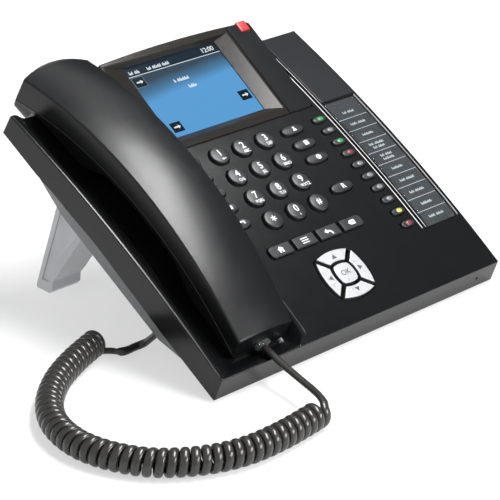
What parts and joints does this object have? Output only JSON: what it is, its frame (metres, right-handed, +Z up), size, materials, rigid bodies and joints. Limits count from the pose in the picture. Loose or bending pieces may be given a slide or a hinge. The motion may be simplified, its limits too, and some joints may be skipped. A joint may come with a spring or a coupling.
{
  "type": "desk ip phone",
  "caption": "Desk telephone with a handset on a curly cord, a tilted keypad body with a colour display, line keys with label strip, and a fold-out stand.",
  "frame": {"origin": "centre of the base of the phone without its cord, on the table", "axes": "+Z up, +Y towards the back of the phone, +X to the right of a person who dials"},
  "size_m": [0.3097, 0.2471, 0.1303],
  "materials": {
    "housing": "satin black plastic",
    "tray": "dark grey moulded plastic",
    "bezel": "polished dark plastic",
    "key": "matte dark grey plastic",
    "silver": "silver lacquer",
    "handset": "fine-grained satin black plastic",
    "stand": "grey textured plastic",
    "screen": "lit colour display",
    "lamp": "clear red lens",
    "card": "printed card",
    "clear": "clear plastic",
    "cord": "smooth black cable jacket",
    "rubber": "matte black rubber",
    "board": "green solder mask",
    "plug": "clear moulded plastic"
  },
  "bodies": {
    "desk_body": {"top_housing": "housing", "bottom_housing": "tray", "main_board": "board", "loudspeaker": "rubber", "display_bezel": "bezel", "lcd_module": "screen", "message_lamp": "lamp", "expansion_cover": "housing", "label_card": "card", "front_foot_strip": "rubber", "base_plug": "plug", "cord_coil": "cord", "cord_handset_lead": "cord", "cord_base_lead": "cord"},
    "handset": {"handset_upper_shell": "handset", "handset_lower_shell": "handset", "handset_plug": "plug"},
    "hook_plunger": {"hook_switch": "key"},
    "stand_frame": {"stand": "stand"},
    "label_window": {"label_cover": "clear"},
    "dial_key_1_cap": {"dial_key_1": "key"},
    "dial_key_2_cap": {"dial_key_2": "key"},
    "dial_key_3_cap": {"dial_key_3": "key"},
    "dial_key_4_cap": {"dial_key_4": "key"},
    "dial_key_5_cap": {"dial_key_5": "key"},
    "dial_key_6_cap": {"dial_key_6": "key"},
    "dial_key_7_cap": {"dial_key_7": "key"},
    "dial_key_8_cap": {"dial_key_8": "key"},
    "dial_key_9_cap": {"dial_key_9": "key"},
    "dial_key_star_cap": {"dial_key_star": "key"},
    "dial_key_0_cap": {"dial_key_0": "key"},
    "dial_key_hash_cap": {"dial_key_hash": "key"},
    "function_key_left_1_cap": {"function_key_left_1": "key"},
    "function_key_right_1_cap": {"function_key_right_1": "key"},
    "function_key_left_2_cap": {"function_key_left_2": "key"},
    "function_key_right_2_cap": {"function_key_right_2": "key"},
    "function_key_left_3_cap": {"function_key_left_3": "key"},
    "function_key_right_3_cap": {"function_key_right_3": "key"},
    "function_key_left_4_cap": {"function_key_left_4": "key"},
    "function_key_left_5_cap": {"function_key_left_5": "key"},
    "function_key_right_4_cap": {"function_key_right_4": "key"},
    "line_key_01_cap": {"line_key_01": "key"},
    "line_key_02_cap": {"line_key_02": "key"},
    "line_key_03_cap": {"line_key_03": "key"},
    "line_key_04_cap": {"line_key_04": "key"},
    "line_key_05_cap": {"line_key_05": "key"},
    "line_key_06_cap": {"line_key_06": "key"},
    "line_key_07_cap": {"line_key_07": "key"},
    "line_key_08_cap": {"line_key_08": "key"},
    "line_key_09_cap": {"line_key_09": "key"},
    "line_key_10_cap": {"line_key_10": "key"},
    "menu_key_1_cap": {"menu_key_1": "key"},
    "menu_key_2_cap": {"menu_key_2": "key"},
    "menu_key_3_cap": {"menu_key_3": "key"},
    "menu_key_4_cap": {"menu_key_4": "key"},
    "arrow_key_up_cap": {"arrow_key_up": "silver"},
    "arrow_key_left_cap": {"arrow_key_left": "silver"},
    "arrow_key_down_cap": {"arrow_key_down": "silver"},
    "arrow_key_right_cap": {"arrow_key_right": "silver"},
    "confirm_key_cap": {"confirm_key": "silver"}
  },
  "joints": [
    {"name": "handset_lift", "type": "slide", "parent": "desk_body", "child": "handset", "axis": [0, -0.512, 0.859], "range_m": [0, 0.06]},
    {"name": "hook_travel", "type": "slide", "parent": "desk_body", "child": "hook_plunger", "axis": [0, -0.512, 0.859], "range_m": [0, 0.0027]},
    {"name": "stand_fold", "type": "hinge", "parent": "desk_body", "child": "stand_frame", "pos_m": [0, 0.03764, 0.05533], "axis": [1, 0, 0], "range_deg": [-92, 0]},
    {"name": "label_window_lift", "type": "slide", "parent": "desk_body", "child": "label_window", "axis": [0, -0.5125, 0.8587], "range_m": [0, 0.012]},
    {"name": "dial_key_1_press", "type": "slide", "parent": "desk_body", "child": "dial_key_1_cap", "axis": [0, -0.4762, 0.8793], "range_m": [-0.0012, 0], "stiffness_N_per_m": 400, "springref_m": 0.0002},
    {"name": "dial_key_2_press", "type": "slide", "parent": "desk_body", "child": "dial_key_2_cap", "axis": [0, -0.4762, 0.8793], "range_m": [-0.0012, 0], "stiffness_N_per_m": 400, "springref_m": 0.0002},
    {"name": "dial_key_3_press", "type": "slide", "parent": "desk_body", "child": "dial_key_3_cap", "axis": [0, -0.4762, 0.8793], "range_m": [-0.0012, 0], "stiffness_N_per_m": 400, "springref_m": 0.0002},
    {"name": "dial_key_4_press", "type": "slide", "parent": "desk_body", "child": "dial_key_4_cap", "axis": [0, -0.4921, 0.8705], "range_m": [-0.0012, 0], "stiffness_N_per_m": 400, "springref_m": 0.0002},
    {"name": "dial_key_5_press", "type": "slide", "parent": "desk_body", "child": "dial_key_5_cap", "axis": [0, -0.4921, 0.8705], "range_m": [-0.0012, 0], "stiffness_N_per_m": 400, "springref_m": 0.0002},
    {"name": "dial_key_6_press", "type": "slide", "parent": "desk_body", "child": "dial_key_6_cap", "axis": [0, -0.4921, 0.8705], "range_m": [-0.0012, 0], "stiffness_N_per_m": 400, "springref_m": 0.0002},
    {"name": "dial_key_7_press", "type": "slide", "parent": "desk_body", "child": "dial_key_7_cap", "axis": [0, -0.5079, 0.8614], "range_m": [-0.0012, 0], "stiffness_N_per_m": 400, "springref_m": 0.0002},
    {"name": "dial_key_8_press", "type": "slide", "parent": "desk_body", "child": "dial_key_8_cap", "axis": [0, -0.5079, 0.8614], "range_m": [-0.0012, 0], "stiffness_N_per_m": 400, "springref_m": 0.0002},
    {"name": "dial_key_9_press", "type": "slide", "parent": "desk_body", "child": "dial_key_9_cap", "axis": [0, -0.5079, 0.8614], "range_m": [-0.0012, 0], "stiffness_N_per_m": 400, "springref_m": 0.0002},
    {"name": "dial_key_star_press", "type": "slide", "parent": "desk_body", "child": "dial_key_star_cap", "axis": [0, -0.5235, 0.8521], "range_m": [-0.0012, 0], "stiffness_N_per_m": 400, "springref_m": 0.0002},
    {"name": "dial_key_0_press", "type": "slide", "parent": "desk_body", "child": "dial_key_0_cap", "axis": [0, -0.5235, 0.8521], "range_m": [-0.0012, 0], "stiffness_N_per_m": 400, "springref_m": 0.0002},
    {"name": "dial_key_hash_press", "type": "slide", "parent": "desk_body", "child": "dial_key_hash_cap", "axis": [0, -0.5235, 0.8521], "range_m": [-0.0012, 0], "stiffness_N_per_m": 400, "springref_m": 0.0002},
    {"name": "function_key_left_1_press", "type": "slide", "parent": "desk_body", "child": "function_key_left_1_cap", "axis": [0, -0.4758, 0.8796], "range_m": [-0.0012, 0], "stiffness_N_per_m": 400, "springref_m": 0.0002},
    {"name": "function_key_right_1_press", "type": "slide", "parent": "desk_body", "child": "function_key_right_1_cap", "axis": [0, -0.4758, 0.8796], "range_m": [-0.0012, 0], "stiffness_N_per_m": 400, "springref_m": 0.0002},
    {"name": "function_key_left_2_press", "type": "slide", "parent": "desk_body", "child": "function_key_left_2_cap", "axis": [0, -0.4869, 0.8735], "range_m": [-0.0012, 0], "stiffness_N_per_m": 400, "springref_m": 0.0002},
    {"name": "function_key_right_2_press", "type": "slide", "parent": "desk_body", "child": "function_key_right_2_cap", "axis": [0, -0.4869, 0.8735], "range_m": [-0.0012, 0], "stiffness_N_per_m": 400, "springref_m": 0.0002},
    {"name": "function_key_left_3_press", "type": "slide", "parent": "desk_body", "child": "function_key_left_3_cap", "axis": [0, -0.4979, 0.8672], "range_m": [-0.0012, 0], "stiffness_N_per_m": 400, "springref_m": 0.0002},
    {"name": "function_key_right_3_press", "type": "slide", "parent": "desk_body", "child": "function_key_right_3_cap", "axis": [0, -0.4979, 0.8672], "range_m": [-0.0012, 0], "stiffness_N_per_m": 400, "springref_m": 0.0002},
    {"name": "function_key_left_4_press", "type": "slide", "parent": "desk_body", "child": "function_key_left_4_cap", "axis": [0, -0.5088, 0.8609], "range_m": [-0.0012, 0], "stiffness_N_per_m": 400, "springref_m": 0.0002},
    {"name": "function_key_left_5_press", "type": "slide", "parent": "desk_body", "child": "function_key_left_5_cap", "axis": [0, -0.5196, 0.8544], "range_m": [-0.0012, 0], "stiffness_N_per_m": 400, "springref_m": 0.0002},
    {"name": "function_key_right_4_press", "type": "slide", "parent": "desk_body", "child": "function_key_right_4_cap", "axis": [0, -0.5196, 0.8544], "range_m": [-0.0012, 0], "stiffness_N_per_m": 400, "springref_m": 0.0002},
    {"name": "line_key_01_press", "type": "slide", "parent": "desk_body", "child": "line_key_01_cap", "axis": [0, -0.4747, 0.8801], "range_m": [-0.0012, 0], "stiffness_N_per_m": 400, "springref_m": 0.0002},
    {"name": "line_key_02_press", "type": "slide", "parent": "desk_body", "child": "line_key_02_cap", "axis": [0, -0.4836, 0.8753], "range_m": [-0.0012, 0], "stiffness_N_per_m": 400, "springref_m": 0.0002},
    {"name": "line_key_03_press", "type": "slide", "parent": "desk_body", "child": "line_key_03_cap", "axis": [0, -0.4925, 0.8703], "range_m": [-0.0012, 0], "stiffness_N_per_m": 400, "springref_m": 0.0002},
    {"name": "line_key_04_press", "type": "slide", "parent": "desk_body", "child": "line_key_04_cap", "axis": [0, -0.5013, 0.8653], "range_m": [-0.0012, 0], "stiffness_N_per_m": 400, "springref_m": 0.0002},
    {"name": "line_key_05_press", "type": "slide", "parent": "desk_body", "child": "line_key_05_cap", "axis": [0, -0.51, 0.8601], "range_m": [-0.0012, 0], "stiffness_N_per_m": 400, "springref_m": 0.0002},
    {"name": "line_key_06_press", "type": "slide", "parent": "desk_body", "child": "line_key_06_cap", "axis": [0, -0.5187, 0.8549], "range_m": [-0.0012, 0], "stiffness_N_per_m": 400, "springref_m": 0.0002},
    {"name": "line_key_07_press", "type": "slide", "parent": "desk_body", "child": "line_key_07_cap", "axis": [0, -0.5274, 0.8496], "range_m": [-0.0012, 0], "stiffness_N_per_m": 400, "springref_m": 0.0002},
    {"name": "line_key_08_press", "type": "slide", "parent": "desk_body", "child": "line_key_08_cap", "axis": [0, -0.536, 0.8442], "range_m": [-0.0012, 0], "stiffness_N_per_m": 400, "springref_m": 0.0002},
    {"name": "line_key_09_press", "type": "slide", "parent": "desk_body", "child": "line_key_09_cap", "axis": [0, -0.5445, 0.8387], "range_m": [-0.0012, 0], "stiffness_N_per_m": 400, "springref_m": 0.0002},
    {"name": "line_key_10_press", "type": "slide", "parent": "desk_body", "child": "line_key_10_cap", "axis": [0, -0.553, 0.8332], "range_m": [-0.0012, 0], "stiffness_N_per_m": 400, "springref_m": 0.0002},
    {"name": "menu_key_1_press", "type": "slide", "parent": "desk_body", "child": "menu_key_1_cap", "axis": [0, -0.5411, 0.841], "range_m": [-0.0012, 0], "stiffness_N_per_m": 400, "springref_m": 0.0002},
    {"name": "menu_key_2_press", "type": "slide", "parent": "desk_body", "child": "menu_key_2_cap", "axis": [0, -0.5411, 0.841], "range_m": [-0.0012, 0], "stiffness_N_per_m": 400, "springref_m": 0.0002},
    {"name": "menu_key_3_press", "type": "slide", "parent": "desk_body", "child": "menu_key_3_cap", "axis": [0, -0.5411, 0.841], "range_m": [-0.0012, 0], "stiffness_N_per_m": 400, "springref_m": 0.0002},
    {"name": "menu_key_4_press", "type": "slide", "parent": "desk_body", "child": "menu_key_4_cap", "axis": [0, -0.5411, 0.841], "range_m": [-0.0012, 0], "stiffness_N_per_m": 400, "springref_m": 0.0002},
    {"name": "arrow_key_up_press", "type": "slide", "parent": "desk_body", "child": "arrow_key_up_cap", "axis": [0, -0.5656, 0.8247], "range_m": [-0.0012, 0], "stiffness_N_per_m": 400, "springref_m": 0.0002},
    {"name": "arrow_key_left_press", "type": "slide", "parent": "desk_body", "child": "arrow_key_left_cap", "axis": [0, -0.5656, 0.8247], "range_m": [-0.0012, 0], "stiffness_N_per_m": 400, "springref_m": 0.0002},
    {"name": "arrow_key_down_press", "type": "slide", "parent": "desk_body", "child": "arrow_key_down_cap", "axis": [0, -0.5656, 0.8247], "range_m": [-0.0012, 0], "stiffness_N_per_m": 400, "springref_m": 0.0002},
    {"name": "arrow_key_right_press", "type": "slide", "parent": "desk_body", "child": "arrow_key_right_cap", "axis": [0, -0.5656, 0.8247], "range_m": [-0.0012, 0], "stiffness_N_per_m": 400, "springref_m": 0.0002},
    {"name": "confirm_key_press", "type": "slide", "parent": "desk_body", "child": "confirm_key_cap", "axis": [0, -0.5656, 0.8247], "range_m": [-0.0012, 0], "stiffness_N_per_m": 400, "springref_m": 0.0002}
  ],
  "couplings": [
    {"joint": "hook_travel", "follows": "handset_lift", "ratio": 0.045}
  ]
}
